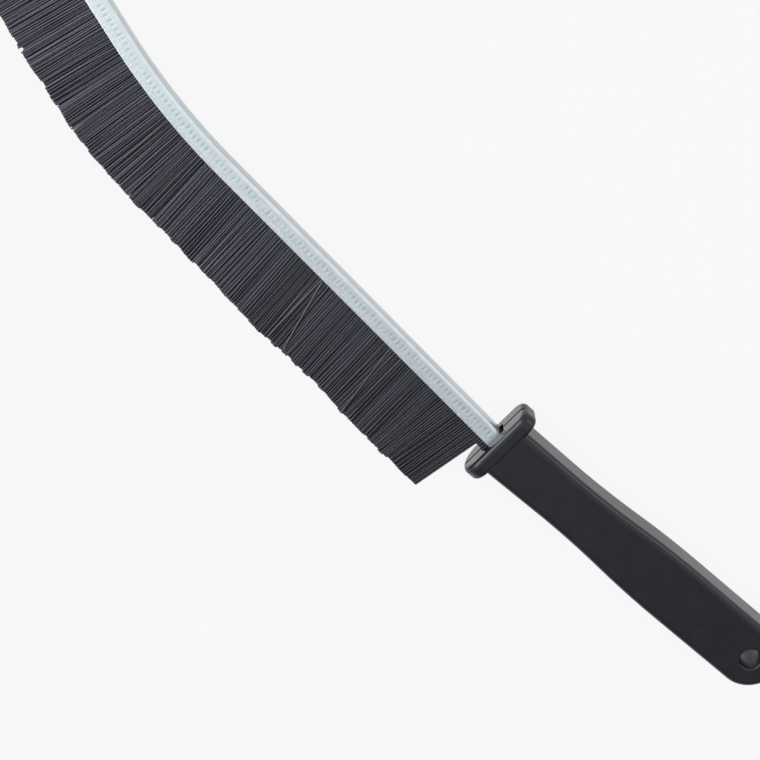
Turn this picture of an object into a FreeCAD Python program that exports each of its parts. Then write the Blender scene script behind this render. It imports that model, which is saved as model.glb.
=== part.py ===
"""Crevice brush: a bent, crimped strip brush pushed into a moulded handle with a hand guard.

Millimetres. The model is drawn with the guard's front face at x = 0 and the handle's axis on the X axis:
+X runs to the brush's tip, +Y to the bristles' side and +Z out of the broad face. It is then lifted so that
the origin is the middle of the flat underside of the guard, which the brush lies on.
"""

import math
import os

import FreeCAD
import Part

V = FreeCAD.Vector
Z_AXIS = V(0, 0, 1)

# Handle: grip
HANDLE_LENGTH = 100.0  # guard's front face to the butt
NECK_WIDTH = 14.6  # across Y, at the back of the guard
WAIST_WIDTH = 14.1  # narrowest place, behind the neck
WAIST_SETBACK = 24.0  # guard's front face to the waist
SWELL_WIDTH = 17.0  # palm end, also the diameter of the round butt
SWELL_SETBACK = 64.0  # guard's front face to where the full width is reached
GRIP_THICKNESS = 10.4  # across Z
GRIP_EDGE_RADIUS = 1.8

# Handle: guard
GUARD_THICKNESS = 4.3  # along X
GUARD_PROUD_AT_BRISTLES = 4.2  # beyond the neck, along Y
GUARD_PROUD_AT_SPINE = 3.8
GUARD_PROUD_AT_FACES = 0.2  # beyond the grip's broad faces, along Z
GUARD_RADIUS_AT_BRISTLES = 5.2  # rounding of its outline, seen along X
GUARD_RADIUS_AT_SPINE = 3.2
GUARD_FRONT_RADIUS = 1.5  # edge towards the bristles
GUARD_BACK_RADIUS = 1.0  # edge towards the grip

# Handle: groove across the guard's front face, where the two halves of the mould part
PARTING_WIDTH = 0.7
PARTING_DEPTH = 0.4

# Handle: hang hole through the butt
HANG_HOLE_RADIUS = 2.75
HANG_HOLE_EDGE_RADIUS = 0.6

# Strip: folded channel
CHANNEL_HEIGHT = 4.9  # spine to mouth
CHANNEL_THICKNESS = 3.9  # across Z
SHEET = 0.5
FOLD_INNER_RADIUS = 0.4

# Strip: its line, measured on the channel's centre line
TANG_LENGTH = 28.0  # held behind the guard's front face
EXIT_BEND_SETBACK = 3.4  # start of the first bend, behind the guard's front face
EXIT_BEND_RADIUS = 40.0
EXIT_BEND_ANGLE = 5.05  # degrees, towards the spine
STRAIGHT_LENGTH = 95.6  # between the two bends
LONG_BEND_RADIUS = 170.0
LONG_BEND_ANGLE = 13.0  # degrees, towards the spine
TIP_LENGTH = 27.7  # second bend to the cut tip

# Strip: core wire and bristle fill
WIRE_DIAMETER = 1.2
BRISTLE_LENGTH_AT_GUARD = 20.8  # below the mouth of the channel
BRISTLE_LENGTH_AT_TIP = 18.8
BRISTLE_START = 2.0  # guard's front face to the first full bristle
BRISTLE_END_MARGIN = 1.0  # last bristle to the cut tip
STUB_LENGTH = 2.0  # trimmed filaments on the tang, below the mouth
TUFT_COUNT = 40
TUFT_GAP = 0.15
# Lean of the bristles in degrees, positive towards the handle, at shares of the bristled length
LEAN_PLACE_SHARES = (0.0, 0.09, 0.14, 0.37, 0.5, 0.65, 0.74, 1.0)
LEAN_DEGREES = (-6.5, 0.0, 5.5, 7.5, 5.0, 4.2, 1.0, 0.0)

# Fits
SOCKET_CLEARANCE = 0.05
SOCKET_END_CLEARANCE = 0.5
SOCKET_MOUTH_GAP = 1.0  # open gap beside the spine where the strip bends out
SOCKET_MOUTH_LENGTH = 6.0
FILL_CLEARANCE = 0.1
WIRE_CLEARANCE = 0.05
OVERRUN = 1.0  # cutters reach this far past what they cut
TOUCH = 0.001  # points nearer than this are one point

# Values that follow
BUTT_RADIUS = SWELL_WIDTH / 2
GUARD_LOW = -NECK_WIDTH / 2 - GUARD_PROUD_AT_SPINE
GUARD_HIGH = NECK_WIDTH / 2 + GUARD_PROUD_AT_BRISTLES
GUARD_DEPTH = GRIP_THICKNESS + 2 * GUARD_PROUD_AT_FACES
MOUTH = CHANNEL_HEIGHT / 2
SPINE = -CHANNEL_HEIGHT / 2
SOCKET_HALF_THICKNESS = CHANNEL_THICKNESS / 2 + SOCKET_CLEARANCE
FILL_HALF_THICKNESS = CHANNEL_THICKNESS / 2 - SHEET - FILL_CLEARANCE
FILL_TOP = SPINE + SHEET + FILL_CLEARANCE
WIRE_RADIUS = WIRE_DIAMETER / 2
WIRE_OFFSET = FILL_TOP + FILL_HALF_THICKNESS
EXIT_BEND_LENGTH = math.radians(EXIT_BEND_ANGLE) * EXIT_BEND_RADIUS
LONG_BEND_LENGTH = math.radians(LONG_BEND_ANGLE) * LONG_BEND_RADIUS
TIP_PLACE = EXIT_BEND_LENGTH - EXIT_BEND_SETBACK + STRAIGHT_LENGTH + LONG_BEND_LENGTH + TIP_LENGTH


def along(length, degrees):
    """A step of this length in the XY plane, at this angle from +X."""
    return V(length * math.cos(math.radians(degrees)), length * math.sin(math.radians(degrees)), 0)


class StripLine:
    """The strip's centre line in the XY plane: straight runs joined by two tangent bends towards -Y.

    A place on it is a distance along it from the guard's front face. A run is kept as its first place,
    its length, its radius (None on a straight), its first point and its first angle in degrees.
    """

    def __init__(self):
        place = -TANG_LENGTH
        point = V(place, 0, 0)
        angle = 0
        self.runs = []
        for length, radius in (
            (TANG_LENGTH - EXIT_BEND_SETBACK, None),
            (EXIT_BEND_LENGTH, EXIT_BEND_RADIUS),
            (STRAIGHT_LENGTH, None),
            (LONG_BEND_LENGTH, LONG_BEND_RADIUS),
            (TIP_LENGTH, None),
        ):
            self.runs.append((place, length, radius, point, angle))
            point, angle = self.step(point, angle, length, radius)
            place += length

    @staticmethod
    def step(point, angle, length, radius):
        """Point and angle reached from a run's start, on a straight or on a bend towards -Y."""
        if radius is None:
            return point + along(length, angle), angle
        turned = angle - math.degrees(length / radius)
        centre = point - along(radius, angle + 90)
        return centre + along(radius, turned + 90), turned

    def at(self, place):
        """Point and angle of the centre line at a place."""
        for start, length, radius, point, angle in self.runs:
            if place <= start + length:
                break
        return self.step(point, angle, place - start, radius)

    def beside(self, place, offset, z=0):
        """A point of the cross-section at a place: offset towards the bristles, z up."""
        point, angle = self.at(place)
        return point + along(offset, angle + 90) + Z_AXIS * z

    def path(self, offset, end):
        """The line from the tang's end to a place as one path, moved sideways by an offset."""
        edges = []
        for start, length, radius, _, _ in self.runs:
            length = min(length, end - start)
            if length < TOUCH:
                break
            first, middle, last = (self.beside(start + length * part / 2, offset) for part in range(3))
            if radius is None:
                edges.append(Part.LineSegment(first, last).toShape())
            else:
                edges.append(Part.Arc(first, middle, last).toShape())
        return Part.Wire(edges)

    def sweep(self, profile, offset, end):
        """A closed profile at the tang's end carried along the line to a place, as a solid."""
        return self.path(offset, end).makePipeShell([profile], True, False)


LINE = StripLine()


def outline(*edges):
    """A closed planar outline from points, joined by straight edges, and arcs given as (middle, end)."""
    shapes = []
    last = edges[0]
    for edge in edges[1:] + edges[:1]:
        if isinstance(edge, tuple):
            shapes.append(Part.Arc(last, *edge).toShape())
            last = edge[1]
        elif (edge - last).Length > TOUCH:
            shapes.append(Part.LineSegment(last, edge).toShape())
            last = edge
    return Part.Wire(shapes)


def rounded_plate(low, high, low_radius, high_radius, depth, x, length):
    """A plate seen along X: low to high across Y, depth across Z, from x forward by length.

    The corners of its outline have one radius at each end, at most half the depth.
    """
    edges = []
    for turn, (end, radius, side_y, side_z) in enumerate((
        (high, high_radius, 1, 1),
        (low, low_radius, -1, 1),
        (low, low_radius, -1, -1),
        (high, high_radius, 1, -1),
    )):
        radius = min(radius, depth / 2)
        start, middle, stop = (
            V(
                x,
                end - side_y * radius + radius * math.cos(math.radians(90 * turn + part)),
                side_z * (depth / 2 - radius) + radius * math.sin(math.radians(90 * turn + part)),
            )
            for part in (0, 45, 90)
        )
        edges.append(start)
        edges.append((middle, stop))
    return Part.Face(outline(*edges)).extrude(V(length, 0, 0))


def box(low, high):
    """A box between two corners."""
    size = high - low
    return Part.makeBox(size.x, size.y, size.z, low)


def grip():
    """The grip: a flat outline in XY, narrow at the waist and round at the butt, with rounded edges.

    Each side tapers from the neck to the waist, then swells in an S of two equal arcs to its full width.
    Its front end is sunk half-way into the guard.
    """
    neck_slope = (NECK_WIDTH - WAIST_WIDTH) / 2 / (WAIST_SETBACK - GUARD_THICKNESS)
    sunk = GUARD_THICKNESS / 2
    run = SWELL_SETBACK - WAIST_SETBACK
    rise = (SWELL_WIDTH - WAIST_WIDTH) / 2
    curve_radius = (run ** 2 + rise ** 2) / (4 * rise)
    half_turn = math.asin(run / 2 / curve_radius) / 2
    arc_run = curve_radius * math.sin(half_turn)
    arc_rise = curve_radius * (1 - math.cos(half_turn))
    z = -GRIP_THICKNESS / 2

    def side(sign):
        return {
            "front": V(sunk - GUARD_THICKNESS, sign * (NECK_WIDTH / 2 + neck_slope * sunk), z),
            "waist": V(-WAIST_SETBACK, sign * WAIST_WIDTH / 2, z),
            "rising": V(-WAIST_SETBACK - arc_run, sign * (WAIST_WIDTH / 2 + arc_rise), z),
            "half_way": V(-WAIST_SETBACK - run / 2, sign * (WAIST_WIDTH + rise) / 2, z),
            "settling": V(-SWELL_SETBACK + arc_run, sign * (SWELL_WIDTH / 2 - arc_rise), z),
            "swell": V(-SWELL_SETBACK, sign * SWELL_WIDTH / 2, z),
            "butt": V(BUTT_RADIUS - HANDLE_LENGTH, sign * BUTT_RADIUS, z),
        }

    high, low = side(1), side(-1)
    plan = outline(
        high["front"],
        high["waist"],
        (high["rising"], high["half_way"]),
        (high["settling"], high["swell"]),
        high["butt"],
        (V(-HANDLE_LENGTH, 0, z), low["butt"]),
        low["swell"],
        (low["settling"], low["half_way"]),
        (low["rising"], low["waist"]),
        low["front"],
    )
    body = Part.Face(plan).extrude(V(0, 0, GRIP_THICKNESS))
    rims = [
        edge for edge in body.Edges
        if edge.BoundBox.ZLength < TOUCH and edge.BoundBox.XMin < sunk - GUARD_THICKNESS - TOUCH
    ]
    return body.makeFillet(GRIP_EDGE_RADIUS, rims)


def guard():
    """The hand guard: a plate with rounded ends and edges, and a parting groove across its front face."""
    plate = rounded_plate(
        GUARD_LOW, GUARD_HIGH, GUARD_RADIUS_AT_SPINE, GUARD_RADIUS_AT_BRISTLES,
        GUARD_DEPTH, -GUARD_THICKNESS, GUARD_THICKNESS,
    )
    for x, radius in ((0, GUARD_FRONT_RADIUS), (-GUARD_THICKNESS, GUARD_BACK_RADIUS)):
        rim = [
            edge for edge in plate.Edges
            if edge.BoundBox.XLength < TOUCH and abs(edge.BoundBox.XMin - x) < TOUCH
        ]
        plate = plate.makeFillet(radius, rim)
    groove = box(
        V(-PARTING_DEPTH, GUARD_LOW - OVERRUN, -PARTING_WIDTH / 2),
        V(OVERRUN, GUARD_HIGH + OVERRUN, PARTING_WIDTH / 2),
    )
    return plate.cut(groove)


def socket():
    """The blind slot for the tang, with a wider mouth beside the spine where the strip bends out."""
    spine = SPINE - SOCKET_CLEARANCE
    stub_side = MOUTH + STUB_LENGTH + SOCKET_CLEARANCE
    front_corner = V(OVERRUN, stub_side, SOCKET_HALF_THICKNESS)
    slot = box(V(-TANG_LENGTH - SOCKET_END_CLEARANCE, spine, -SOCKET_HALF_THICKNESS), front_corner)
    mouth = box(V(-SOCKET_MOUTH_LENGTH, spine - SOCKET_MOUTH_GAP, -SOCKET_HALF_THICKNESS), front_corner)
    return slot.fuse(mouth)


def hang_hole():
    """A cutter for the round hole through the butt, flared where its rims are rounded."""
    half = GRIP_THICKNESS / 2
    flare = HANG_HOLE_RADIUS + HANG_HOLE_EDGE_RADIUS
    rim_level = half - HANG_HOLE_EDGE_RADIUS
    reach = HANG_HOLE_EDGE_RADIUS * math.sqrt(1 / 2)
    profile = outline(
        V(0, 0, -half - OVERRUN),
        V(flare, 0, -half - OVERRUN),
        V(flare, 0, -half),
        (V(flare - reach, 0, -rim_level - reach), V(HANG_HOLE_RADIUS, 0, -rim_level)),
        V(HANG_HOLE_RADIUS, 0, rim_level),
        (V(flare - reach, 0, rim_level + reach), V(flare, 0, half)),
        V(flare, 0, half + OVERRUN),
        V(0, 0, half + OVERRUN),
    )
    cutter = Part.Face(profile).revolve(V(0, 0, 0), Z_AXIS, 360)
    cutter.translate(V(BUTT_RADIUS - HANDLE_LENGTH, 0, 0))
    return cutter


def handle():
    """Grip and guard as one moulding, with the tang's slot and the hang hole."""
    return grip().fuse(guard()).removeSplitter().cut(socket()).cut(hang_hole())


def strip_channel():
    """The folded U-channel, its mouth towards the bristles, carried along the strip's line."""
    half = CHANNEL_THICKNESS / 2
    outer_radius = FOLD_INNER_RADIUS + SHEET
    centre = SPINE + outer_radius
    level = half - outer_radius

    def at(offset, z):
        return LINE.beside(-TANG_LENGTH, offset, z)

    def fold(radius, sign):
        """Middle point of a folded corner."""
        reach = radius * math.sqrt(1 / 2)
        return at(centre - reach, sign * (level + reach))

    profile = outline(
        at(MOUTH, half),
        at(centre, half),
        (fold(outer_radius, 1), at(SPINE, level)),
        at(SPINE, -level),
        (fold(outer_radius, -1), at(centre, -half)),
        at(MOUTH, -half),
        at(MOUTH, -half + SHEET),
        at(centre, -half + SHEET),
        (fold(FOLD_INNER_RADIUS, -1), at(SPINE + SHEET, -level)),
        at(SPINE + SHEET, level),
        (fold(FOLD_INNER_RADIUS, 1), at(centre, half - SHEET)),
        at(MOUTH, half - SHEET),
    )
    return LINE.sweep(profile, 0, TIP_PLACE)


def round_along(radius, end):
    """A round bar on the core wire's line, from the tang's end to a place."""
    centre = LINE.beside(-TANG_LENGTH, WIRE_OFFSET)
    profile = Part.Wire([Part.Circle(centre, V(1, 0, 0), radius).toShape()])
    return LINE.sweep(profile, WIRE_OFFSET, end)


def core_wire():
    """The round wire in the bottom of the channel, which the filaments are folded over."""
    return round_along(WIRE_RADIUS, TIP_PLACE)


def fold_outline(at, tips):
    """Outline of the fill seen along the strip: an arch over the wire and straight sides down to the tips."""
    return outline(
        at(tips, FILL_HALF_THICKNESS),
        at(WIRE_OFFSET, FILL_HALF_THICKNESS),
        (at(FILL_TOP, 0), at(WIRE_OFFSET, -FILL_HALF_THICKNESS)),
        at(tips, -FILL_HALF_THICKNESS),
    )


def leaning_block(start, end, lean_start, lean_end, tips):
    """All that lies between two leaning lines through the mouth, from above the fill to past the tips.

    The lines pass through the mouth at two places and lean by their own angles, positive towards the handle.
    """
    below = -FILL_HALF_THICKNESS - OVERRUN

    def leaning(place, lean, offset):
        slant = (offset - MOUTH) / math.cos(math.radians(lean))
        return LINE.beside(place, MOUTH, below) + along(slant, LINE.at(place)[1] + 90 + lean)

    plan = outline(
        leaning(start, lean_start, FILL_TOP - OVERRUN),
        leaning(end, lean_end, FILL_TOP - OVERRUN),
        leaning(end, lean_end, tips + OVERRUN),
        leaning(start, lean_start, tips + OVERRUN),
    )
    return Part.Face(plan).extrude(Z_AXIS * (-2 * below))


def tang_fill():
    """The fill on the tang, trimmed to stubs, from the tang's end out to the first full bristle."""
    tips = MOUTH + STUB_LENGTH
    end = BRISTLE_START - TUFT_GAP / 2
    past = end + tips - FILL_TOP

    def at(offset, z):
        return LINE.beside(-TANG_LENGTH, offset, z)

    stubs = LINE.sweep(fold_outline(at, tips), 0, past)
    lean = LEAN_DEGREES[0]
    beyond = leaning_block(end, past + tips, lean, lean, tips)
    return stubs.cut(beyond).cut(round_along(WIRE_RADIUS + WIRE_CLEARANCE, past)).Solids[0]


def tuft(start, end, length, lean_start, lean_end):
    """A bundle of filaments folded over the wire, between two places, with tips this far from the mouth."""
    middle = (start + end) / 2
    angle = LINE.at(middle)[1]
    tips = MOUTH + length
    reach = end - start + tips
    back = along(-reach, angle)

    def at(offset, z):
        return LINE.beside(middle, offset, z) + back

    bar = Part.Face(fold_outline(at, tips)).extrude(along(2 * reach, angle))
    bore = Part.makeCylinder(WIRE_RADIUS + WIRE_CLEARANCE, 2 * reach, at(WIRE_OFFSET, 0), along(1, angle))
    return bar.common(leaning_block(start, end, lean_start, lean_end, tips)).cut(bore).Solids[0]


def between(places, values, place):
    """Value at a place, straight between the listed places."""
    listed = list(zip(places, values))
    for (low, low_value), (high, high_value) in zip(listed, listed[1:]):
        if place <= high:
            break
    return low_value + (high_value - low_value) * (place - low) / (high - low)


def tufts():
    """The bristles as bundles side by side along the strip, by node name."""
    pitch = (TIP_PLACE - BRISTLE_END_MARGIN - BRISTLE_START) / TUFT_COUNT
    bundles = {}
    for index in range(TUFT_COUNT):
        start = BRISTLE_START + index * pitch
        length = between((0, TUFT_COUNT), (BRISTLE_LENGTH_AT_GUARD, BRISTLE_LENGTH_AT_TIP), index + 1 / 2)
        leans = [
            between(LEAN_PLACE_SHARES, LEAN_DEGREES, edge / TUFT_COUNT)
            for edge in (index, index + 1)
        ]
        bundles["bristle_tuft_%02d" % (index + 1)] = tuft(
            start + TUFT_GAP / 2, start + pitch - TUFT_GAP / 2, length, *leans
        )
    return bundles


def main():
    nodes = {
        "handle": handle(),
        "strip_channel": strip_channel(),
        "core_wire": core_wire(),
        "tang_fill": tang_fill(),
    }
    nodes.update(tufts())
    os.makedirs("parts", exist_ok=True)
    rest_flat_middle = (GUARD_FRONT_RADIUS + GUARD_THICKNESS - GUARD_BACK_RADIUS) / 2
    lift = V(rest_flat_middle, 0, GUARD_DEPTH / 2)
    for name, shape in nodes.items():
        shape.translate(lift)
        shape.exportStep("parts/%s.step" % name)
        print(name, len(shape.Solids), shape.isValid(), round(shape.Volume, 2))


main()
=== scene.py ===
"""Crevice brush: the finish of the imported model, laid out as an add-on.

The frame gives every piece its place. The handle and the core wire are the frame's own meshes. The zinc
channel with its crimp marks, every filament and the trimmed stubs are worked out as surfaces in the same
frame, in metres: a place is a distance along the strip's centre line from the guard's front face, an offset
lies across it towards the bristles, and z lies across the broad faces.
"""

import math

import bpy
import numpy as np
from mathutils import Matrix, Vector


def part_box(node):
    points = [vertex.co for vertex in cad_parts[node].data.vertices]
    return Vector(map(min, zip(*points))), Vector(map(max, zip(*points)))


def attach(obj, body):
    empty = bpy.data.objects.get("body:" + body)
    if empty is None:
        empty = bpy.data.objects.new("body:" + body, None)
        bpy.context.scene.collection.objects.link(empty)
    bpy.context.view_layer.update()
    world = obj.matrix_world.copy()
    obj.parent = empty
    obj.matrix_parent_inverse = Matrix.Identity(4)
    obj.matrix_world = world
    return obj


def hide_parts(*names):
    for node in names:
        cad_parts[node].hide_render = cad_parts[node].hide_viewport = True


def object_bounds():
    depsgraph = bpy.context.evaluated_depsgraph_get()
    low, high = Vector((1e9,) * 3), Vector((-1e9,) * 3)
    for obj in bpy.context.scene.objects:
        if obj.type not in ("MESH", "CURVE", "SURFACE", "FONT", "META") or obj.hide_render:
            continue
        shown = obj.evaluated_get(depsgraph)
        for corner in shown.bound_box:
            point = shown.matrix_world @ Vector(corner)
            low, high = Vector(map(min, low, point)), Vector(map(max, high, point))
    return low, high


bl_info = {
    "name": "Crevice brush",
    "version": (1, 0, 0),
    "blender": (4, 5, 0),
    "location": "View3D > Sidebar > Brush",
    "description": "Finishes the crevice brush round its packed frame",
    "category": "Object",
}

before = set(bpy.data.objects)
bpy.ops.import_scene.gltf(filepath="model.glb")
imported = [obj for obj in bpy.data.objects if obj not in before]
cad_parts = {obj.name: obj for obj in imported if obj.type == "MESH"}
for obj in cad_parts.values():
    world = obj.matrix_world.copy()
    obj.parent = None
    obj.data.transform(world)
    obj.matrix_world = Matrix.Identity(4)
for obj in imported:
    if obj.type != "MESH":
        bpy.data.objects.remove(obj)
CAD_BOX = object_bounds()

MM = 0.001
BODY = "root"
SEED = 20
TUFT_NODES = sorted(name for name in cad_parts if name.startswith("bristle_tuft_"))
CHANNEL_LOW, CHANNEL_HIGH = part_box("strip_channel")
FIT_TOLERANCE = 0.06 * MM
WHITE = (1, 1, 1, 1)

# Bristles: length below the mouth and lean towards the handle, at places along the strip
LENGTH_PLACES = np.array((5, 20, 40, 60, 80, 100, 120, 140, 161)) * MM
LENGTHS = np.array((20.65, 20.8, 20.0, 20.4, 19.8, 19.45, 19.5, 19.1, 18.7)) * MM
LEAN_PLACES = np.array((2, 6.6, 11.8, 17, 22, 52, 58, 67, 77, 105, 115, 161)) * MM
LEANS = np.radians((-5.2, -4.4, -2.6, 0.1, 5.4, 5.9, 8.1, 7.4, 5.1, 4.3, 1.2, 0))
# Shade of the filaments (darkest 0, palest 1) along the strip; its rise towards the tip is painted light
PAINTED_LIGHT_PLACES = np.array((5, 30, 100, 161)) * MM
PAINTED_LIGHT_SHADES = np.array((0.22, 0.4, 0.52, 0.62))
# Strays that lie across the others on the upper side: place, lean, length below the mouth and shade
STRAY_PLACES = np.array((59.4, 59.7, 35.4)) * MM
STRAY_LEANS = np.radians((18.1, 4.9, 11.8))
STRAY_LENGTHS = np.array((19.2, 19.8, 20.6)) * MM
STRAY_SHADES = np.array((2, 2, 1.35))
# Scatter of the shades from filament to filament and from clump to clump, and the palest stub
SHADE_SCATTER = 0.36
SHADE_DRIFT = 0.1
STUB_SHADE = 0.6
# Points on a filament's leg, as shares of it from the mouth, and their shares of the bow
LEG_SHARES = np.array((1, 0.5, 0))
LEG_BOW_SHARES = np.array((0, 1, 0))
# Points of a filament over the wire, and round it
OVER_STEPS = 5
FILAMENT_SIDES = 6
# Points of the channel's section: on a wall, a fold, a quarter of a lip and an inner fold
WALL_STEPS = 20
FOLD_STEPS = 7
LIP_STEPS = 3
INNER_FOLD_STEPS = 4
# Sections of the channel: on the tang, and round a crimp mark's centre as shares of the mark's width
TANG_STEPS = 30
MARK_SHARES = np.array((-0.6, -0.45, -0.3, -0.1, 0.1, 0.3, 0.45, 0.6))
# Crimp marks: scatter of the place in pitches and of the level in heights, and shares of the full depth
CRIMP_PLACE_SHARE = 0.05
CRIMP_LEVEL_SHARE = 0.08
CRIMP_DEPTH_SHARE = 0.85
CRIMP_DEPTH_SCATTER_SHARE = 0.22
CRIMP_DEPTH_LIMIT_SHARES = (0.35, 1.2)
NICK_DEPTH_SHARE = 0.35
# Angles between faces past which an edge looks sharp
CHANNEL_EDGE = math.radians(40)
FILAMENT_EDGE = math.radians(75)
# Handle's parting line from its middle, and its polish from the guard's front: where they are full and gone
SEAM_FULL = 0.05 * MM
SEAM_GONE = 0.12 * MM
POLISH_FULL = 0.03 * MM
POLISH_GONE = 0.2 * MM
# Rolling streaks of the zinc in a metre
STREAKS_ALONG = 30
STREAKS_AROUND = 1400


def length_of(name, description, default):
    """A length in metres."""
    return bpy.props.FloatProperty(
        name=name, description=description, default=default, precision=5, unit="LENGTH", subtype="DISTANCE",
    )


def angle_of(name, description, degrees):
    """An angle, kept in radians."""
    return bpy.props.FloatProperty(
        name=name, description=description, default=math.radians(degrees), unit="ROTATION", subtype="ANGLE",
    )


def share_of(name, description, default):
    """A share from 0 to 1."""
    return bpy.props.FloatProperty(
        name=name, description=description, default=default, min=0, max=1, subtype="FACTOR",
    )


def colour_of(name, description, default):
    """A linear colour."""
    return bpy.props.FloatVectorProperty(
        name=name, description=description, default=default, min=0, max=1, size=3, subtype="COLOR",
    )


def number_of(name, description, default):
    """A plain number."""
    return bpy.props.FloatProperty(name=name, description=description, default=default)


def power_of(name, description, default):
    """A lamp's power in watts."""
    return bpy.props.FloatProperty(name=name, description=description, default=default, unit="POWER")


def place_of(name, description, default):
    """A point of the frame, in metres."""
    return bpy.props.FloatVectorProperty(
        name=name, description=description, default=default, precision=5, size=3,
        unit="LENGTH", subtype="XYZ",
    )


class StripSizes(bpy.types.PropertyGroup):
    """Sizes of the folded zinc strip, its line and its crimp."""

    height: length_of("Height", "Channel, spine to mouth", 4.9 * MM)
    thickness: length_of("Thickness", "Channel, across the broad faces", CHANNEL_HIGH.z - CHANNEL_LOW.z)
    sheet: length_of("Sheet", "Thickness of the sheet", 0.5 * MM)
    fold_radius: length_of("Fold radius", "Outside of the two folds at the spine", 1.15 * MM)
    speckle_height: length_of("Speckle height", "Rubbed and speckled band above the mouth", 2.2 * MM)
    lip_height: length_of("Lip height", "Nicked band above the mouth", 0.9 * MM)
    # The ridge line is a painted highlight: brighter zinc along the fold's start.
    ridge_highlight_level: length_of("Ridge level", "Line rubbed bright where the wall turns into the fold", 4.1 * MM)
    ridge_highlight_width: length_of("Ridge width", "Of that line", 1 * MM)
    lip_radius: length_of("Lip radius", "Rounding of the cut edges at the mouth", 0.12 * MM)
    tang: length_of("Tang", "Held behind the guard's front face", 28 * MM)
    exit_setback: length_of("Exit setback", "First bend's start behind the guard's front face", 3.4 * MM)
    exit_radius: length_of("Exit radius", "First bend", 40 * MM)
    exit_angle: angle_of("Exit angle", "First bend, towards the spine", 5.05)
    straight: length_of("Straight", "Between the two bends", 95.6 * MM)
    long_radius: length_of("Long radius", "Second bend", 170 * MM)
    long_angle: angle_of("Long angle", "Second bend, towards the spine", 13)
    tip: length_of("Tip", "Second bend to the cut tip", 27.7 * MM)
    wire_radius: length_of("Wire radius", "Core wire that the filaments fold over", 0.6 * MM)
    wire_offset: length_of("Wire offset", "Core wire's centre from the strip's centre line", -0.5 * MM)
    crimp_pitch: length_of("Crimp pitch", "One crimp mark to the next", 1.33 * MM)
    crimp_width: length_of("Crimp width", "Of one mark, along the strip", 0.9 * MM)
    crimp_height: length_of("Crimp height", "Of one mark, across the wall", 2.2 * MM)
    crimp_depth: length_of("Crimp depth", "Of one mark", 0.035 * MM)
    crimp_level: length_of("Crimp level", "Row of marks above the mouth", 2.45 * MM)


class BristleSizes(bpy.types.PropertyGroup):
    """Sizes of the filaments and how unevenly they stand."""

    radius: length_of("Radius", "Of one filament", 0.2 * MM)
    pitch: length_of("Pitch", "One filament to the next in a layer", 0.74 * MM)
    outer_layer: length_of("Outer layer", "Outermost filaments from the strip's middle plane", 1.15 * MM)
    layer_step: length_of("Layer step", "One layer to the next", 0.26 * MM)
    layers: bpy.props.IntProperty(name="Layers", description="On each side of the wire", default=5, min=1)
    start: length_of("Start", "Guard's front face to the first full bristle", 1.65 * MM)
    end_margin: length_of("End margin", "Last bristle to the cut tip", 1 * MM)
    stub: length_of("Stub", "Trimmed filaments on the tang, below the mouth", 2 * MM)
    lean_scatter: angle_of("Lean scatter", "Standard deviation of one leg's lean", 0.6)
    clump_scatter: angle_of("Clump scatter", "Standard deviation of a clump's lean", 0.7)
    clump: length_of("Clump", "Filaments that lean together", 3.4 * MM)
    length_scatter: length_of("Length scatter", "Standard deviation of one leg's length", 0.045 * MM)
    trim_wave: length_of("Trim wave", "Standard deviation of the trim line", 0.14 * MM)
    trim_step: length_of("Trim step", "Standard deviation of a lock's length", 0.14 * MM)
    lock: length_of("Lock", "Filaments that were cut together", 1.9 * MM)
    trim_crown: length_of("Trim crown", "Middle of the trim past its edges", 0.4 * MM)
    place_scatter: length_of("Place scatter", "Standard deviation of a filament's place", 0.09 * MM)
    bow: length_of("Bow", "Standard deviation of a leg's bow", 0.1 * MM)
    stray_lift: length_of("Stray lift", "Strays' tips above the others", 0.5 * MM)
    notch_place: length_of("Notch place", "Where the trim line has a notch", 143 * MM)
    notch_width: length_of("Notch width", "Of the notch, along the strip", 0.8 * MM)
    notch_depth: length_of("Notch depth", "Of the notch", 0.9 * MM)


class Finishes(bpy.types.PropertyGroup):
    """Colours of the plastic, the zinc, the wire and the filaments."""

    moulding: colour_of("Moulding", "Black plastic of the handle", (0.002, 0.0015, 0.008))
    moulding_bloom: colour_of("Moulding bloom", "Paler mottling of the plastic", (0.004, 0.0036, 0.011))
    zinc: colour_of("Zinc", "Coating of the strip", (0.6, 0.68, 0.715))
    zinc_dull: colour_of("Dull zinc", "Duller spangles and streaks", (0.5, 0.575, 0.61))
    # Pressed zinc is painted shade in the crimp marks, and the colour of the dark specks at the mouth.
    zinc_shade_and_dark_speck: colour_of("Pressed zinc", "Bottom of the crimp marks", (0.41, 0.475, 0.51))
    # Rolled zinc is painted shade: the spine is painted darker and greyer, standing in for its dimmer
    # reflection.
    zinc_spine_shade: colour_of("Rolled zinc", "Spine, where the rolls rubbed it", (0.53, 0.565, 0.58))
    # Bright zinc colours the rubbed specks and the painted highlight on the ridge.
    zinc_speck_and_highlight: colour_of("Bright zinc", "Specks that are rubbed bright", (0.78, 0.81, 0.84))
    wire: colour_of("Wire", "Drawn steel", (0.5, 0.5, 0.51))
    wire_dull: colour_of("Dull wire", "Die marks on the drawn steel", (0.36, 0.355, 0.35))
    bristle: colour_of("Bristle", "Darkest filaments", (0.0105, 0.011, 0.019))
    bristle_pale: colour_of("Pale bristle", "Palest filaments", (0.037, 0.038, 0.053))
    bristle_worn: colour_of("Worn bristle", "Strays, rubbed grey", (0.055, 0.058, 0.062))
    bristle_cut: colour_of("Cut bristle", "Sheared ends", (0.045, 0.045, 0.048))


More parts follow.
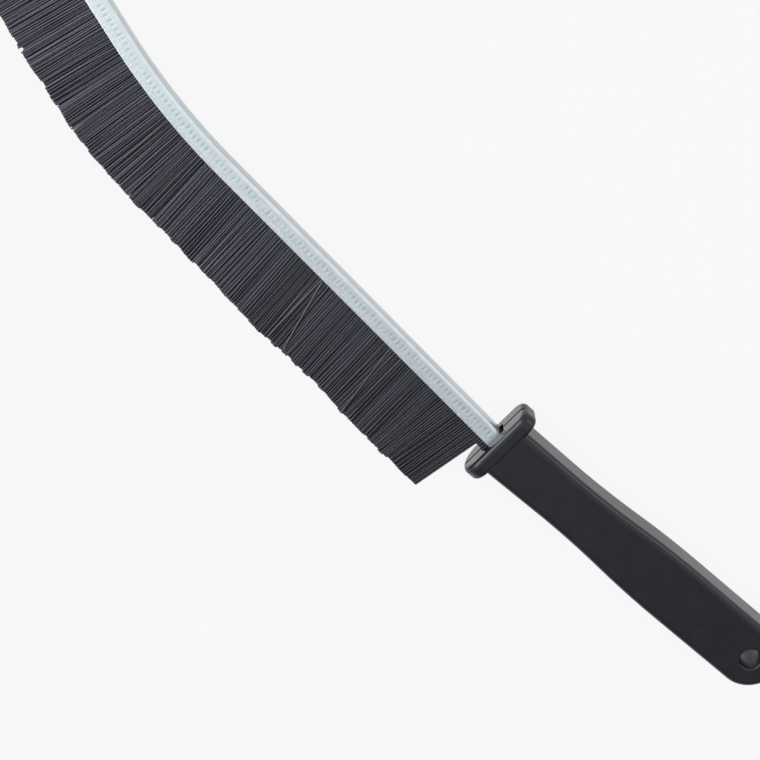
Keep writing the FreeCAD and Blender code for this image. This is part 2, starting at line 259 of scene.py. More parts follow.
class StageSettings(bpy.types.PropertyGroup):
    """Floor, light and camera."""

    floor: colour_of("Floor", "Pale floor", (0.9, 0.9, 0.9))
    floor_reach: length_of("Floor reach", "Middle of the floor to its edges", 4)
    floor_drop: length_of("Floor drop", "Floor below the brush", 0.2 * MM)
    backdrop: share_of("Backdrop", "White of the background", 0.955)
    shadow: share_of("Shadow", "How much of the floor's own light and shade shows", 0.07)
    sky: share_of("Sky", "Light of the dome's dimmer side", 0.42)
    horizon: share_of("Horizon", "Share of the dome's light that is left at the horizon", 0.65)
    full_height: share_of("Full height", "Sine of the height at which the dome's light is full", 0.75)
    glow: number_of("Glow", "Light that the brighter side adds, as a multiple of the sky", 1.7)
    glow_edge: number_of("Glow edge", "Cosine of the angle at which the glow ends", -0.6)
    glow_core: number_of("Glow core", "Cosine of the angle within which the glow is full", -0.16)
    glow_towards: bpy.props.FloatVectorProperty(
        name="Glow towards", description="Middle of the dome's brighter side", size=3, subtype="DIRECTION",
        default=(0.894, -0.447, 0),
    )
    key_place: place_of("Key place", "Soft lamp past the tip", (0.27, 0.06, 0.135))
    key_power: power_of("Key power", "Of that lamp", 1)
    key_width: length_of("Key width", "Level side of that lamp", 0.35)
    key_height: length_of("Key height", "Other side of that lamp", 0.18)
    rim_place: place_of("Rim place", "Small lamp on the spine's side of the grip", (-0.26, -0.53, 0.17))
    rim_power: power_of("Rim power", "Of that lamp", 0.25)
    rim_size: length_of("Rim size", "Side of that lamp", 0.12)
    camera_place: place_of("Camera place", "Where the camera stands", (0.1676, -0.1399, 0.4654))
    camera_tilt: angle_of("Camera tilt", "Away from straight down", 23.43)
    camera_turn: angle_of("Camera turn", "About the vertical", 137.78)
    camera_lens: bpy.props.FloatProperty(
        name="Camera lens", description="Focal length for a 36 mm square picture", default=96.35,
        unit="CAMERA",
    )


class Field:
    """A value worked out over a surface: a node's output, whose operators add Math nodes."""

    def __init__(self, nodes, socket):
        self.nodes = nodes
        self.socket = socket

    def __add__(self, other):
        return self.nodes.math("ADD", self, other)

    def __sub__(self, other):
        return self.nodes.math("SUBTRACT", self, other)

    def __rsub__(self, other):
        return self.nodes.math("SUBTRACT", other, self)

    def __mul__(self, other):
        return self.nodes.math("MULTIPLY", self, other)

    def __abs__(self):
        return self.nodes.math("ABSOLUTE", self)

    __radd__ = __add__


class Nodes:
    """A node tree that is written as expressions."""

    def __init__(self, tree):
        self.tree = tree
        self.tree.nodes.clear()

    def node(self, kind, settings=None, inputs=None, output=0):
        """Adds a node: its settings first, then its inputs by name or number. Gives one of its outputs."""
        made = self.tree.nodes.new(kind)
        for key, value in (settings or {}).items():
            setattr(made, key, value)
        for key, value in (inputs or {}).items():
            if isinstance(value, Field):
                self.tree.links.new(value.socket, made.inputs[key])
            else:
                made.inputs[key].default_value = value
        return Field(self, made.outputs[output]) if made.outputs else None

    def math(self, operation, *values):
        return self.node("ShaderNodeMath", {"operation": operation}, dict(enumerate(values)))

    def mix(self, factor, first, second):
        """A colour between two colours."""
        inputs = {0: factor, 6: first, 7: second}
        return self.node("ShaderNodeMix", {"data_type": "RGBA"}, inputs, output=2)

    def ramp(self, value, low, high, to_low=0.0, to_high=1.0):
        """A value that goes smoothly from to_low to to_high while another goes from low to high."""
        inputs = {"Value": value, 1: low, 2: high, 3: to_low, 4: to_high}
        return self.node("ShaderNodeMapRange", {"interpolation_type": "SMOOTHSTEP"}, inputs)

    def object_place(self, scale=(1, 1, 1)):
        """Object coordinates, stretched along the axes."""
        place = self.node("ShaderNodeTexCoord", output="Object")
        return self.node("ShaderNodeMapping", {"vector_type": "POINT"}, {"Vector": place, "Scale": scale})

    def attribute(self, name):
        """A number kept at the mesh's points."""
        return self.node("ShaderNodeAttribute", {"attribute_name": name}, output="Fac")

    def noise(self, place, scale, detail=2.0, roughness=0.5):
        inputs = {"Vector": place, "Scale": scale, "Detail": detail, "Roughness": roughness}
        return self.node("ShaderNodeTexNoise", inputs=inputs)

    def bump(self, height, distance, strength=1.0, normal=None):
        inputs = {"Height": height, "Distance": distance, "Strength": strength}
        if normal:
            inputs["Normal"] = normal
        return self.node("ShaderNodeBump", inputs=inputs)

    def surface(self, **sockets):
        """The material's own shader, with its sockets named in small letters."""
        inputs = {}
        for name, value in sockets.items():
            inputs[name.replace("_", " ").title().replace("Ior", "IOR")] = value
        shader = self.node("ShaderNodeBsdfPrincipled", inputs=inputs)
        self.node("ShaderNodeOutputMaterial", inputs={"Surface": shader})


def new_material(name):
    """An empty material and its nodes."""
    material = bpy.data.materials.new(name)
    material.use_nodes = True
    return material, Nodes(material.node_tree)


def solid(colour):
    """A property's colour with full opacity."""
    return (*colour, 1.0)


def black_moulding(finishes):
    """Satin black plastic: faint mottling, a fine grain, hairline rubs along the grip and a parting line.

    The guard's front is polished.
    """
    material, nodes = new_material("black_moulding")
    place = nodes.object_place()
    mottle = nodes.noise(place, scale=220, detail=4)
    rubs = nodes.noise(nodes.object_place(scale=(40, 1500, 1500)), scale=1, detail=3, roughness=0.6)
    rub_mask = nodes.ramp(rubs, low=0.62, high=0.72)
    grain = nodes.noise(place, scale=5200, detail=2)
    middle = (CAD_BOX[0].z + CAD_BOX[1].z) / 2
    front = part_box("handle")[1].x
    along = nodes.node("ShaderNodeSeparateXYZ", inputs={"Vector": place}, output="X")
    across = nodes.node("ShaderNodeSeparateXYZ", inputs={"Vector": place}, output="Z")
    seam = nodes.ramp(abs(across - middle), SEAM_FULL, SEAM_GONE, to_low=1, to_high=0)
    bloom = nodes.ramp(mottle, low=0.35, high=0.7)
    parting = nodes.bump(seam, distance=0.05 * MM, strength=0.6)
    nodes.surface(
        base_color=nodes.mix(bloom, solid(finishes.moulding), solid(finishes.moulding_bloom)),
        roughness=0.25 + mottle * 0.08 + rub_mask * 0.1,
        specular_ior_level=0.435,
        coat_weight=nodes.ramp(along, front - POLISH_GONE, front - POLISH_FULL, to_high=0.8),
        coat_roughness=0.1,
        normal=nodes.bump(grain, distance=0.012 * MM, strength=0.35, normal=parting),
    )
    return material


def zinc_coating(finishes):
    """Zinc on sheet steel: spangles, rolling streaks, rubbed mouth specks; painted ridge highlight, spine
    shade and crimp shade.
    """
    material, nodes = new_material("zinc_coating")
    along = nodes.attribute("along") * STREAKS_ALONG
    around = nodes.attribute("around") * STREAKS_AROUND
    sheet = nodes.node("ShaderNodeCombineXYZ", inputs={0: along, 1: around, 2: 0})
    streaks = nodes.noise(sheet, scale=1, detail=4, roughness=0.62)
    spangle = nodes.noise(nodes.object_place(), scale=420, detail=3, roughness=0.55)
    fine = nodes.noise(nodes.object_place(), scale=2600, detail=2)
    specks = nodes.noise(nodes.object_place(), scale=2300, detail=1)
    dull = nodes.ramp(streaks * 0.55 + spangle * 0.45, low=0.4, high=0.64)
    rubbed = 0.2 + nodes.attribute("lip") * 0.7
    bright = nodes.ramp(specks, low=0.52, high=0.66) * rubbed
    dark = nodes.ramp(specks, low=0.46, high=0.34) * rubbed * 0.6
    # Painted shade: the crimp marks are painted darker, as the shade in their dents.
    pressed = nodes.ramp(nodes.attribute("crimp"), low=0.12, high=0.85, to_high=0.65)
    colour = nodes.mix(dull, solid(finishes.zinc), solid(finishes.zinc_dull))
    # Painted shade: the spine is painted darker and greyer.
    colour = nodes.mix(nodes.attribute("spine"), colour, solid(finishes.zinc_spine_shade))
    # Painted highlight: brighter zinc along the ridge, where the wall turns into the fold.
    colour = nodes.mix(nodes.attribute("ridge") * 0.4, colour, solid(finishes.zinc_speck_and_highlight))
    colour = nodes.mix(bright, colour, solid(finishes.zinc_speck_and_highlight))
    colour = nodes.mix(dark, colour, solid(finishes.zinc_shade_and_dark_speck))
    colour = nodes.mix(pressed, colour, solid(finishes.zinc_shade_and_dark_speck))
    fine_relief = nodes.bump(fine, distance=0.01 * MM, strength=0.3)
    relief = streaks * 0.4 + spangle * 0.6
    nodes.surface(
        base_color=colour,
        metallic=1.0,
        roughness=0.25 + dull * 0.1 + fine * 0.06,
        normal=nodes.bump(relief, distance=0.03 * MM, strength=0.5, normal=fine_relief),
    )
    return material


def drawn_steel(finishes):
    """Drawn wire: fine die marks along it and a cloudy, slightly dull surface."""
    material, nodes = new_material("drawn_steel")
    marks = nodes.noise(nodes.object_place(scale=(60, 2600, 2600)), scale=1, detail=4, roughness=0.6)
    cloud = nodes.noise(nodes.object_place(), scale=700, detail=3)
    dull = nodes.ramp(marks * 0.6 + cloud * 0.4, low=0.38, high=0.62)
    nodes.surface(
        base_color=nodes.mix(dull, solid(finishes.wire), solid(finishes.wire_dull)),
        metallic=1.0,
        roughness=0.36 + cloud * 0.14,
        normal=nodes.bump(marks, distance=0.008 * MM, strength=0.5),
    )
    return material


def bristle_plastic(finishes):
    """Black filament: each has its own shade, which carries painted light along the strip, with faint
    mottling; strays are worn.
    """
    material, nodes = new_material("bristle_plastic")
    shade = nodes.attribute("shade")
    mottle = nodes.noise(nodes.object_place(), scale=900, detail=3)
    pale = nodes.ramp(shade * 0.85 + mottle * 0.3, low=0.1, high=1.1)
    worn = nodes.ramp(shade, low=1, high=2)
    colour = nodes.mix(pale, solid(finishes.bristle), solid(finishes.bristle_pale))
    nodes.surface(
        base_color=nodes.mix(worn, colour, solid(finishes.bristle_worn)),
        roughness=0.24 + mottle * 0.1,
        specular_ior_level=0.4,
        normal=nodes.bump(mottle, distance=0.01 * MM, strength=0.4),
    )
    return material


def bristle_ends(finishes):
    """Sheared filament ends: paler, rough and a little torn."""
    material, nodes = new_material("bristle_ends")
    torn = nodes.noise(nodes.object_place(), scale=6000, detail=2)
    nodes.surface(
        base_color=nodes.mix(torn, solid(finishes.bristle_pale), solid(finishes.bristle_cut)),
        roughness=0.55 + torn * 0.25,
        normal=nodes.bump(torn, distance=0.02 * MM, strength=0.6),
    )
    return material


def show(piece_name, mesh, slot, *nodes):
    """Puts a finished mesh into the scene as a piece that stands for CAD nodes."""
    piece = bpy.data.objects.new(piece_name, mesh)
    bpy.context.scene.collection.objects.link(piece)
    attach(piece, BODY)
    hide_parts(*nodes)


def keep(node, material):
    """Gives a CAD node that stays its finish."""
    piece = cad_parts[node]
    piece.data.materials.clear()
    piece.data.materials.append(material)


def tube_mesh(name, rings, sharp_angle, **values):
    """Tubes from rings of points, given as (tube, station, side, xyz), closed by one face at each end.

    A face joins two neighbours on a ring to the same two on the next ring; the last neighbour of a ring is
    its first. values are numbers kept at the points, in any shape that fits (tube, station, side).
    """
    tubes, stations, sides = rings.shape[:3]
    index = np.arange(tubes * stations * sides).reshape(tubes, stations, sides)
    beside = np.roll(index, -1, axis=2)
    walls = np.stack((index[:, :-1], beside[:, :-1], beside[:, 1:], index[:, 1:]), axis=-1).reshape(-1, 4)
    ends = np.concatenate((index[:, 0, ::-1], index[:, -1]))
    mesh = bpy.data.meshes.new(name)
    mesh.from_pydata(rings.reshape(-1, 3), [], walls.tolist() + ends.tolist())
    for key, value in values.items():
        spread = np.broadcast_to(value, index.shape).astype(np.float32)
        mesh.attributes.new(key, "FLOAT", "POINT").data.foreach_set("value", spread.ravel())
    mesh.polygons.foreach_set("material_index", np.repeat((0, 1), (len(walls), len(ends))))
    mesh.shade_smooth()
    mesh.set_sharp_from_angle(angle=sharp_angle)
    return mesh


def flat_direction(heading):
    """Unit vectors in the XY plane at angles from +X."""
    return np.stack((np.cos(heading), np.sin(heading), np.zeros_like(heading)), axis=-1)


def strip_line(strip, places):
    """Points of the strip's centre line, and the directions forward and towards the bristles there.

    The line is five runs, straight or bent towards -Y with an even curvature. A length l of a run of
    curvature k turns the heading by l k, and moves the point by the arc's chord, l sin(l k / 2) / (l k / 2),
    along the heading half-way. The last run has no end.
    """
    places = np.asarray(places, dtype=float)
    runs = (
        (strip.tang - strip.exit_setback, 0),
        (strip.exit_angle * strip.exit_radius, 1 / strip.exit_radius),
        (strip.straight, 0),
        (strip.long_angle * strip.long_radius, 1 / strip.long_radius),
        (np.inf, 0),
    )
    first = (CHANNEL_LOW.x, CHANNEL_HIGH.y - strip.height / 2, (CHANNEL_LOW.z + CHANNEL_HIGH.z) / 2)
    point = np.zeros(places.shape + (3,)) + first
    heading = np.zeros_like(places)
    start = -strip.tang
    for run, curvature in runs:
        gone = np.clip(places - start, 0, run)
        turn = gone * curvature
        chord = gone * np.sinc(turn / 2 / np.pi)
        point += chord[..., None] * flat_direction(heading - turn / 2)
        heading = heading - turn
        start += run
    return point, flat_direction(heading), flat_direction(heading + np.pi / 2)


def tip_place(strip):
    """Place of the strip's cut tip."""
    bends = strip.exit_angle * strip.exit_radius + strip.long_angle * strip.long_radius
    return bends - strip.exit_setback + strip.straight + strip.tip


def across_strip(strip, places, offsets, z):
    """Points at places along the strip, moved sideways by offsets and up by z, all of one shape."""
    point, _, side = strip_line(strip, places)
    moved = point + side * offsets[..., None]
    moved[..., 2] += z
    return moved


def arc(centre, radius, first, last, steps):
    """Points of an arc in the section plane, as (offset, z), between two angles from the offset axis."""
    angles = np.linspace(first, last, steps)
    return np.asarray(centre) + radius * np.stack((np.cos(angles), np.sin(angles)), axis=-1)


def channel_section(strip):
    """Outline of the folded sheet as (offset, z), closed.

    One half runs from the middle of the spine round the fold, down the outside of the wall, round the cut
    lip, up the inside and round the inner fold; the other half is its mirror image, walked back. The whole
    is turned round at the end, so that the faces look outward.
    """
    half = strip.thickness / 2
    mouth = strip.height / 2
    fold = strip.fold_radius
    lip = strip.lip_radius
    inner = half - strip.sheet
    fold_centre = (fold - mouth, half - fold)
    wall = np.linspace(fold - mouth, mouth - lip, WALL_STEPS)[1:-1]
    quarter = np.pi / 2
    one_side = np.concatenate((
        ((-mouth, 0),),
        arc(fold_centre, fold, 2 * quarter, quarter, FOLD_STEPS),
        np.stack((wall, np.full_like(wall, half)), axis=-1),
        arc((mouth - lip, half - lip), lip, quarter, 0, LIP_STEPS),
        arc((mouth - lip, inner + lip), lip, 0, -quarter, LIP_STEPS),
        ((0, inner),),
        arc(fold_centre, fold - strip.sheet, quarter, 2 * quarter, INNER_FOLD_STEPS),
        ((strip.sheet - mouth, 0),),
    ))
    return np.concatenate((one_side, one_side[-2:0:-1] * (1, -1)))[::-1]


def hump(x):
    """A smooth hump: (1 - x^2)^2 between -1 and 1, and 0 beyond."""
    return np.clip(1 - x ** 2, 0, None) ** 2


def crimp_centres(strip, rng):
    """Places of the crimp marks: one near the middle of each pitch."""
    count = int(tip_place(strip) / strip.crimp_pitch)
    return strip.crimp_pitch * (np.arange(count) + 0.5 + rng.normal(0, CRIMP_PLACE_SHARE, count))


def crimp_marks(strip, centres, places, offsets, rng):
    """Share of the full depth of the crimp marks over one wall.

    Every mark has its own level and depth: it is a hump along the strip times a hump across the wall. A
    second, fainter row nicks the mouth.
    """
    level_shift = rng.normal(0, CRIMP_LEVEL_SHARE, len(centres)) * strip.crimp_height
    depth = rng.normal(CRIMP_DEPTH_SHARE, CRIMP_DEPTH_SCATTER_SHARE, len(centres))
    depth = np.clip(depth, *CRIMP_DEPTH_LIMIT_SHARES)
    number = np.clip(places // strip.crimp_pitch, 0, len(centres) - 1).astype(int)
    level = strip.height / 2 - offsets
    mark = hump(2 * (places - centres[number]) / strip.crimp_width)
    row = hump(2 * (level - strip.crimp_level - level_shift[number]) / strip.crimp_height)
    nick = hump(level / strip.lip_height) * NICK_DEPTH_SHARE
    return mark * (row + nick) * depth[number]


def channel_stations(strip, centres):
    """Places of the channel's sections: even on the tang, and close together across each crimp mark."""
    tip = tip_place(strip)
    marked = (centres[:, None] + strip.crimp_width * MARK_SHARES).ravel()
    marked = marked[(marked > 0) & (marked < tip)]
    return np.concatenate((np.linspace(-strip.tang, 0, TANG_STEPS), np.sort(marked), (tip,)))


def folded_channel(strip):
    """The zinc channel: its section carried along the strip, with both walls pressed in by the crimp."""
    rng = np.random.default_rng(SEED)
    section = channel_section(strip)
    centres = crimp_centres(strip, rng)
    stations = channel_stations(strip, centres)
    places, offsets = np.broadcast_arrays(stations[:, None], section[None, :, 0])
    z = np.broadcast_to(section[:, 1], places.shape)
    half = strip.thickness / 2
    crimp = np.zeros(places.shape)
    for side in (1, -1):
        wall = np.isclose(section[:, 1], side * half, atol=strip.sheet / 100)
        crimp[:, wall] = crimp_marks(strip, centres, places[:, wall], offsets[:, wall], rng)
    crimp *= np.clip(places / strip.crimp_pitch, 0, 1)
    rings = across_strip(strip, places, offsets, z - np.sign(z) * crimp * strip.crimp_depth)
    low, high = rings.reshape(-1, 3).min(0), rings.reshape(-1, 3).max(0)
    if max(abs(low - CHANNEL_LOW).max(), abs(high - CHANNEL_HIGH).max()) > FIT_TOLERANCE:
        raise RuntimeError("The channel doesn't fit its CAD node: %s %s" % (low, high))
    around = np.cumsum(np.hypot(*np.diff(section, axis=0, prepend=section[:1]).T))
    level = strip.height / 2 - offsets
    lip = np.clip(1 - level / strip.speckle_height, 0, 1)
    # Mask of the spine's painted shade.
    spine = np.clip(1 - 2 * (strip.height - level) / strip.fold_radius, 0, 1)
    # Mask of the painted highlight along the ridge.
    ridge = hump(2 * (level - strip.ridge_highlight_level) / strip.ridge_highlight_width)
    return tube_mesh(
        "folded_channel", rings[None], CHANNEL_EDGE,
        along=places, around=around, crimp=crimp, lip=lip, spine=spine, ridge=ridge,
    )


def filament_rings(strip, bristles, places, ranks, leans, lengths, bows, lifts):
    """Rings of points round filaments folded over the core wire, as (filament, station, side, xyz).

    A filament runs from one tip up its leg to the mouth, over the wire in a half circle, and down to the
    other tip. A leg that goes d below the mouth moves back along the strip by d tan(lean); half-way it is
    bowed along the strip, and its tip is lifted away from the middle plane. A ring is a circle square to the
    line there. leans, lengths, bows and lifts are (filament, leg).
    """
    mouth = strip.height / 2
    layers = bristles.outer_layer - bristles.layer_step * ranks
    fold = np.maximum(layers, strip.wire_radius + bristles.radius)[:, None]
    turn = np.linspace(0, np.pi, OVER_STEPS)
    over = strip.wire_offset - fold * np.sin(turn)
    drops = np.concatenate((
        lengths[:, :1] * LEG_SHARES,
        over - mouth,
        lengths[:, 1:] * LEG_SHARES[::-1],
    ), axis=1)
    tilts = np.tan(np.concatenate((
        np.repeat(leans[:, :1], len(LEG_SHARES), axis=1),
        np.repeat(leans.mean(1, keepdims=True), OVER_STEPS, axis=1),
        np.repeat(leans[:, 1:], len(LEG_SHARES), axis=1),
    ), axis=1))
    bowed = np.concatenate((
        bows[:, :1] * LEG_BOW_SHARES,
        np.zeros_like(over),
        bows[:, 1:] * LEG_BOW_SHARES,
    ), axis=1)
    z = np.concatenate((
        layers[:, None] + lifts[:, :1] * LEG_SHARES,
        fold * np.cos(turn),
        -layers[:, None] - lifts[:, 1:] * LEG_SHARES[::-1],
    ), axis=1)
    point, forward, side = (part[:, None] for part in strip_line(strip, places))
    line = point + side * (mouth + drops)[..., None] + forward * (bowed - drops * tilts)[..., None]
    line[..., 2] += z
    heading = np.gradient(line, axis=1)
    heading /= np.linalg.norm(heading, axis=-1, keepdims=True)
    flat = forward - heading * np.sum(forward * heading, axis=-1, keepdims=True)
    flat /= np.linalg.norm(flat, axis=-1, keepdims=True)
    upright = np.cross(heading, flat)
    angles = np.linspace(0, 2 * np.pi, FILAMENT_SIDES, endpoint=False)[:, None]
    circle = flat[:, :, None] * np.cos(angles) + upright[:, :, None] * np.sin(angles)
    return line[:, :, None] + bristles.radius * circle


def filament_places(bristles, first, last, rng):
    """Places of filaments between two places, and their ranks from the outermost layer inwards.

    Each layer has the full pitch. Every second one stands half a pitch on, over the gaps of its neighbours,
    every second pair of layers a quarter more, and every second four an eighth more. Inner layers keep
    closer to their places, so no gap goes through them all.
    """
    layer = np.arange(bristles.layers)
    row = np.arange(first, last - bristles.pitch / 2, bristles.pitch)
    phases = layer % 2 / 2 + layer // 2 % 2 / 4 + layer // 4 % 2 / 8
    places = (row[:, None] + phases * bristles.pitch).ravel()
    ranks = np.tile(layer, len(row))
    scatter = rng.normal(0, bristles.place_scatter, len(places)) / (1 + ranks)
    return np.clip(places + scatter, first, last), ranks


def smooth_scatter(places, span, rng):
    """Standard normal values that drift along the strip, straight between draws one span apart."""
    knots = np.arange(places.min() - span, places.max() + 2 * span, span)
    return np.interp(places, knots, rng.normal(0, 1, len(knots)))[:, None]


def trimmed_lengths(bristles, places, ranks, rng):
    """Lengths of the full filaments below the mouth, as (filament, leg).

    The trim line follows the strip in a slow wave and steps from lock to lock. Inner layers reach further,
    and the line has one notch.
    """
    lengths = np.interp(places, LENGTH_PLACES, LENGTHS)[:, None]
    lengths = lengths + rng.normal(0, bristles.length_scatter, (len(places), 2))
    lengths = lengths + bristles.trim_wave * smooth_scatter(places, bristles.clump, rng)
    locks = (places / bristles.lock).astype(int)
    lengths = lengths + rng.normal(0, bristles.trim_step, locks.max() + 1)[locks, None]
    depth = ranks[:, None] * bristles.layer_step / bristles.outer_layer
    lengths = lengths + bristles.trim_crown * depth * (2 - depth)
    notched = abs(places - bristles.notch_place) < bristles.notch_width / 2
    return lengths - bristles.notch_depth * notched[:, None]


def full_bristles(strip, bristles):
    """Rings and shades of all the full filaments, with their places.

    The outermost filaments wander most, and those at the guard least. Strays come last: their upper leg
    lies across the others.
    """
    rng = np.random.default_rng(SEED + 1)
    first = bristles.start + bristles.radius
    last = tip_place(strip) - bristles.end_margin - bristles.radius
    places, ranks = filament_places(bristles, first, last, rng)
    legs = (len(places), 2)
    freedom = (np.clip((places - first) / bristles.clump, 0, 1) / (1 + ranks))[:, None]
    scatter = rng.normal(0, bristles.lean_scatter, legs)
    drift = bristles.clump_scatter * smooth_scatter(places, bristles.clump, rng)
    leans = np.interp(places, LEAN_PLACES, LEANS)[:, None] + (scatter + drift) * freedom
    lengths = trimmed_lengths(bristles, places, ranks, rng)
    bows = rng.normal(0, bristles.bow, legs) * freedom
    lifts = rng.normal(0, bristles.bow, legs) * freedom
    shades = rng.normal(0, SHADE_SCATTER, legs[0])
    shades = shades + SHADE_DRIFT * smooth_scatter(places, bristles.clump, rng)[:, 0]
    # Painted light: the mean shade rises from the guard towards the tip.
    shades = np.clip(shades + np.interp(places, PAINTED_LIGHT_PLACES, PAINTED_LIGHT_SHADES), 0, 1)
    stray_leans = np.stack((STRAY_LEANS, np.interp(STRAY_PLACES, LEAN_PLACES, LEANS)), axis=1)
    still = np.zeros_like(stray_leans)
    places = np.concatenate((places, STRAY_PLACES))
    ranks = np.concatenate((ranks, still[:, 0]))
    leans = np.concatenate((leans, stray_leans))
    lengths = np.concatenate((lengths, still + STRAY_LENGTHS[:, None]))
    bows = np.concatenate((bows, still))
    lifts = np.concatenate((lifts, still + (bristles.stray_lift, 0)))
    shades = np.concatenate((shades, STRAY_SHADES))
    rings = filament_rings(strip, bristles, places, ranks, leans, lengths, bows, lifts)
    return rings, shades, places


class CREVICE_OT_handle(bpy.types.Operator):
    """Finish the moulded handle"""

    bl_idname = "crevice_brush.handle"
    bl_label = "Handle"

    def execute(self, context):
        keep("handle", black_moulding(context.scene.crevice_finishes))
        return {"FINISHED"}


class CREVICE_OT_channel(bpy.types.Operator):
    """Fold and crimp the zinc channel"""

    bl_idname = "crevice_brush.channel"
    bl_label = "Zinc channel"

    def execute(self, context):
        mesh = folded_channel(context.scene.crevice_strip)
        finish = zinc_coating(context.scene.crevice_finishes)
        mesh.materials.append(finish)
        mesh.materials.append(finish)
        show("folded_channel", mesh, "zinc_steel", "strip_channel")
        return {"FINISHED"}


class CREVICE_OT_wire(bpy.types.Operator):
    """Finish the core wire"""

    bl_idname = "crevice_brush.wire"
    bl_label = "Core wire"

    def execute(self, context):
        keep("core_wire", drawn_steel(context.scene.crevice_finishes))
        return {"FINISHED"}


class CREVICE_OT_bristles(bpy.types.Operator):
    """Set the full bristles, one piece for each tuft"""

    bl_idname = "crevice_brush.bristles"
    bl_label = "Bristles"

    def execute(self, context):
        strip = context.scene.crevice_strip
        bristles = context.scene.crevice_bristles
        finishes = context.scene.crevice_finishes
        materials = bristle_plastic(finishes), bristle_ends(finishes)
        rings, shades, places = full_bristles(strip, bristles)
        pitch = (tip_place(strip) - bristles.end_margin - bristles.start) / len(TUFT_NODES)
        tufts = ((places - bristles.start) / pitch).astype(int)
        for number, node in enumerate(TUFT_NODES):
            mine = tufts == number
            name = "bristles_%02d" % (number + 1)
            mesh = tube_mesh(name, rings[mine], FILAMENT_EDGE, shade=shades[mine][:, None, None])
            for material in materials:
                mesh.materials.append(material)
            show(name, mesh, "bristle_plastic", node)
        return {"FINISHED"}


class CREVICE_OT_stubs(bpy.types.Operator):
    """Set the trimmed stubs on the tang"""

    bl_idname = "crevice_brush.stubs"
    bl_label = "Trimmed stubs"

    def execute(self, context):
        strip = context.scene.crevice_strip
        bristles = context.scene.crevice_bristles
        rng = np.random.default_rng(SEED + 2)
        last = bristles.start - bristles.radius
        places, ranks = filament_places(bristles, bristles.radius - strip.tang, last, rng)
        legs = (len(places), 2)
        leans = np.interp(places, (-bristles.start, last), (0, LEANS[0]))[:, None] + np.zeros(legs)
        lengths = bristles.stub - abs(rng.normal(0, bristles.length_scatter, legs))
        still = np.zeros(legs)
        rings = filament_rings(strip, bristles, places, ranks, leans, lengths, still, still)
        shades = rng.uniform(0, STUB_SHADE, legs[0])[:, None, None]
        mesh = tube_mesh("trimmed_stubs", rings, FILAMENT_EDGE, shade=shades)
        mesh.materials.append(bpy.data.materials["bristle_plastic"])
        mesh.materials.append(bpy.data.materials["bristle_ends"])
        show("trimmed_stubs", mesh, "bristle_plastic", "tang_fill")
        return {"FINISHED"}


def ray_kinds(nodes):
    """1 for rays straight from the camera, and 1 for those off gloss or through glass."""
    path = "ShaderNodeLightPath"
    camera = nodes.node(path, output="Is Camera Ray")
    glossy = nodes.node(path, output="Is Glossy Ray")
    through = nodes.node(path, output="Is Transmission Ray")
    return camera, nodes.math("MAXIMUM", glossy, through)


def lay_floor(stage):
    """A wide pale floor just below the brush; the camera sees it mostly plain white, with a faint shadow."""
    corners = np.array(((-1, -1), (1, -1), (1, 1), (-1, 1))) * stage.floor_reach
    levels = np.full(len(corners), -stage.floor_drop)
    mesh = bpy.data.meshes.new("floor")
    mesh.from_pydata(np.column_stack((corners, levels)), [], [(0, 1, 2, 3)])
    material, nodes = new_material("pale_floor")
    speck = nodes.noise(nodes.object_place(), scale=60, detail=2)
    colour = nodes.mix(speck * 0.04, solid(stage.floor), WHITE)
    lit = nodes.node("ShaderNodeBsdfDiffuse", inputs={"Color": colour})
    white = nodes.node("ShaderNodeEmission", inputs={"Color": WHITE, "Strength": stage.backdrop})
    camera, mirrored = ray_kinds(nodes)
    factor = camera * (1 - stage.shadow) + mirrored
    shader = nodes.node("ShaderNodeMixShader", inputs={0: factor, 1: lit, 2: white})
    nodes.node("ShaderNodeOutputMaterial", inputs={"Surface": shader})
    mesh.materials.append(material)
    floor = bpy.data.objects.new("floor", mesh)
    bpy.context.scene.collection.objects.link(floor)
    return floor


def light_sky(stage):
    """A pale dome, dimmer at the horizon and brighter past the tip; the camera sees plain white."""
    world = bpy.data.worlds.new("studio")
    world.use_nodes = True
    nodes = Nodes(world.node_tree)
    direction = nodes.node("ShaderNodeTexCoord", output="Generated")
    height = nodes.node("ShaderNodeSeparateXYZ", inputs={"Vector": direction}, output="Z")
    towards = nodes.node(
        "ShaderNodeVectorMath", {"operation": "DOT_PRODUCT"},
        {0: direction, 1: stage.glow_towards}, "Value",
    )
    camera, _ = ray_kinds(nodes)
    glow = nodes.ramp(towards, stage.glow_edge, stage.glow_core, to_high=stage.glow)
    dome = nodes.ramp(height, 0, stage.full_height, to_low=stage.horizon) * (1 + glow)
    strength = dome * stage.sky * (1 - camera) + camera * stage.backdrop
    light = nodes.node("ShaderNodeBackground", inputs={"Color": WHITE, "Strength": strength})
    nodes.node("ShaderNodeOutputWorld", inputs={"Surface": light})
    bpy.context.scene.world = world


def hang_lamp(name, place, size, power):
    """A soft oblong lamp, aimed at the middle of the brush."""
    data = bpy.data.lights.new(name, "AREA")
    data.energy = power
    data.shape = "RECTANGLE"
    data.size, data.size_y = size
    lamp = bpy.data.objects.new(name, data)
    lamp.location = place
    lamp.visible_camera = False
    middle = (CAD_BOX[0] + CAD_BOX[1]) / 2
    lamp.rotation_euler = (middle - lamp.location).to_track_quat("-Z", "Y").to_euler()
    bpy.context.scene.collection.objects.link(lamp)
    return lamp


def spare(lamp, piece):
    """Keeps a lamp's light off a piece."""
    spared = bpy.data.collections.new("spared_by_" + lamp.name)
    spared.objects.link(piece)
    spared.collection_objects[0].light_linking.link_state = "EXCLUDE"
    lamp.light_linking.receiver_collection = spared


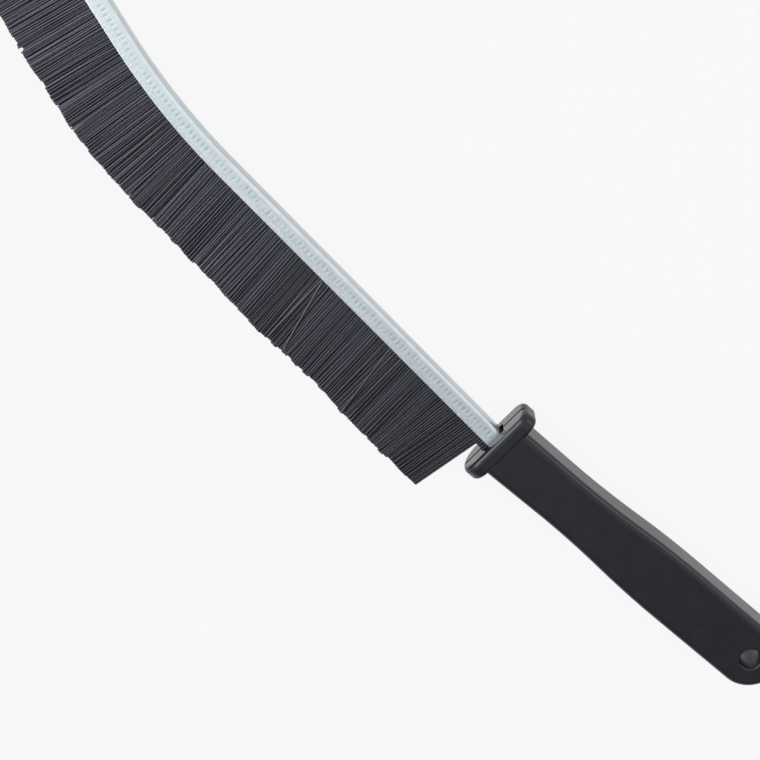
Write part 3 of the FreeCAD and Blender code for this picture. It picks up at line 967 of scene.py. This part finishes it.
def stand_camera(stage):
    """The camera: tilted from straight down about its own X axis, then turned about the vertical."""
    data = bpy.data.cameras.new("camera")
    data.sensor_width = 36
    data.lens = stage.camera_lens
    data.clip_start = 1 * MM
    camera = bpy.data.objects.new("camera", data)
    camera.location = stage.camera_place
    camera.rotation_euler = (-stage.camera_tilt, 0, -stage.camera_turn)
    bpy.context.scene.collection.objects.link(camera)
    bpy.context.scene.camera = camera


class CREVICE_OT_stage(bpy.types.Operator):
    """Lay the floor and set the light and the camera"""

    bl_idname = "crevice_brush.stage"
    bl_label = "Stage"

    def execute(self, context):
        stage = context.scene.crevice_stage
        floor = lay_floor(stage)
        light_sky(stage)
        key = hang_lamp("key", stage.key_place, (stage.key_width, stage.key_height), stage.key_power)
        rim = hang_lamp("rim", stage.rim_place, (stage.rim_size, stage.rim_size), stage.rim_power)
        spare(key, floor)
        spare(rim, bpy.data.objects["folded_channel"])
        stand_camera(stage)
        context.scene.view_settings.view_transform = "Standard"
        return {"FINISHED"}


OPERATORS = (
    CREVICE_OT_handle,
    CREVICE_OT_channel,
    CREVICE_OT_wire,
    CREVICE_OT_bristles,
    CREVICE_OT_stubs,
    CREVICE_OT_stage,
)
SETTINGS = {
    "crevice_strip": StripSizes,
    "crevice_bristles": BristleSizes,
    "crevice_finishes": Finishes,
    "crevice_stage": StageSettings,
}


class CREVICE_PT_brush(bpy.types.Panel):
    """The steps that finish the brush, and their sizes and colours"""

    bl_idname = "CREVICE_PT_brush"
    bl_label = "Crevice brush"
    bl_space_type = "VIEW_3D"
    bl_region_type = "UI"
    bl_category = "Brush"

    def draw(self, context):
        for operator in OPERATORS:
            self.layout.operator(operator.bl_idname)
        for name, group in SETTINGS.items():
            box = self.layout.box()
            for key in group.__annotations__:
                box.prop(getattr(context.scene, name), key)


def register():
    for group in SETTINGS.values():
        bpy.utils.register_class(group)
    for name, group in SETTINGS.items():
        setattr(bpy.types.Scene, name, bpy.props.PointerProperty(type=group))
    for operator in OPERATORS:
        bpy.utils.register_class(operator)
    bpy.utils.register_class(CREVICE_PT_brush)


def unregister():
    bpy.utils.unregister_class(CREVICE_PT_brush)
    for operator in reversed(OPERATORS):
        bpy.utils.unregister_class(operator)
    for name, group in SETTINGS.items():
        delattr(bpy.types.Scene, name)
        bpy.utils.unregister_class(group)


def main():
    """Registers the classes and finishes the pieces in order."""
    register()
    bpy.ops.crevice_brush.handle()
    bpy.ops.crevice_brush.channel()
    bpy.ops.crevice_brush.wire()
    bpy.ops.crevice_brush.bristles()
    bpy.ops.crevice_brush.stubs()
    bpy.ops.crevice_brush.stage()


if __name__ == "__main__":
    main()
